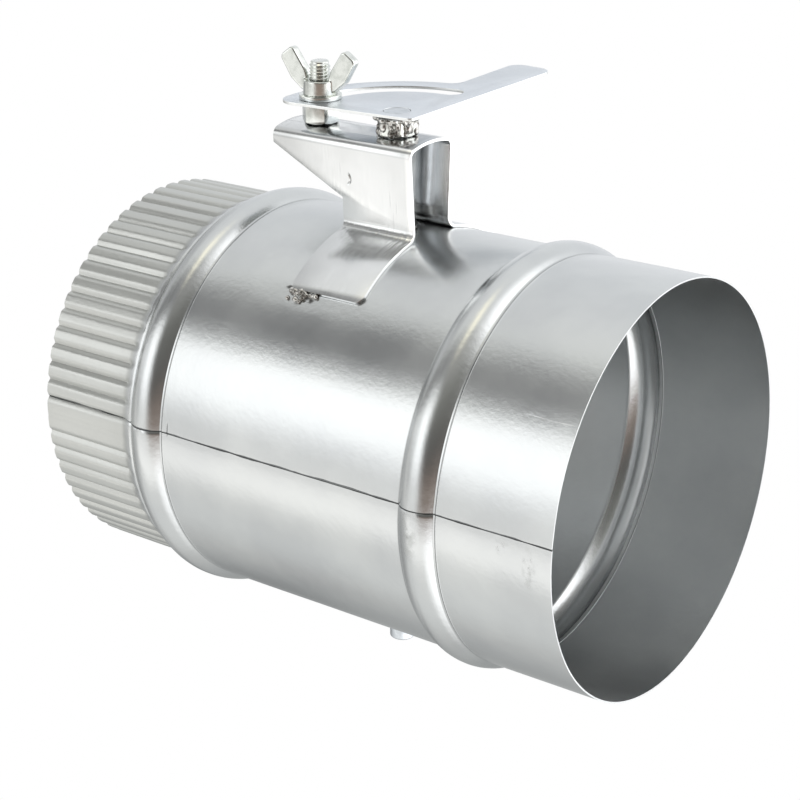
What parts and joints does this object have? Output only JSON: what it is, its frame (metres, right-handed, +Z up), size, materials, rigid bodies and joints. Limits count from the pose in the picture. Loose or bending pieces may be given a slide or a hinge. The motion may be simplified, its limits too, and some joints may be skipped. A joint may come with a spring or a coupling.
{
  "type": "manual duct damper",
  "caption": "Round sheet-metal duct sleeve with a turning blade, a stand-off bracket, a slotted quadrant lever and a clamping wing nut.",
  "frame": {"origin": "centre of the plain end's open face, on the duct's axis", "axes": "+X along the duct's axis and out of the plain end, +Z up along the damper shaft towards the lever, +Y where the lever's handle points when the blade is closed"},
  "size_m": [0.232, 0.1703, 0.2322],
  "materials": {
    "galvanised": "hot-dip galvanised sheet, fine soft spangle",
    "bracket_zinc": "galvanised strip, bright, lightly scratched",
    "lever_zinc": "galvanised stamping, satin",
    "fastener_zinc": "bright zinc plating",
    "shaft_steel": "zinc-plated round bar",
    "weld_steel": "bare weld bead, dull grey",
    "bush_steel": "zinc-plated steel, dulled"
  },
  "bodies": {
    "sleeve": {"duct_sleeve": "galvanised", "standoff_bracket": "bracket_zinc", "tack_weld_near": "weld_steel", "tack_weld_far": "weld_steel", "upper_bush": "bush_steel", "lower_bush": "bush_steel", "clamp_bolt": "fastener_zinc", "lock_nut": "fastener_zinc", "clamp_washer": "fastener_zinc"},
    "damper": {"damper_shaft": "shaft_steel", "damper_blade": "galvanised", "upper_strap": "galvanised", "lower_strap": "galvanised", "strap_rivet_1": "fastener_zinc", "strap_rivet_2": "fastener_zinc", "strap_rivet_3": "fastener_zinc", "strap_rivet_4": "fastener_zinc", "quadrant_lever": "lever_zinc", "shaft_nut": "fastener_zinc", "pivot_weld": "weld_steel"},
    "wing": {"wing_nut": "fastener_zinc"}
  },
  "joints": [
    {"name": "damper_turn", "type": "hinge", "parent": "sleeve", "child": "damper", "pos_m": [-0.1176, 0, 0], "axis": [0, 0, 1], "range_deg": [-4.5, 88]},
    {"name": "wing_nut_turn", "type": "hinge", "parent": "sleeve", "child": "wing", "pos_m": [-0.153, 0, 0.122], "axis": [0, 0, 1], "range_deg": [0, 540]}
  ]
}
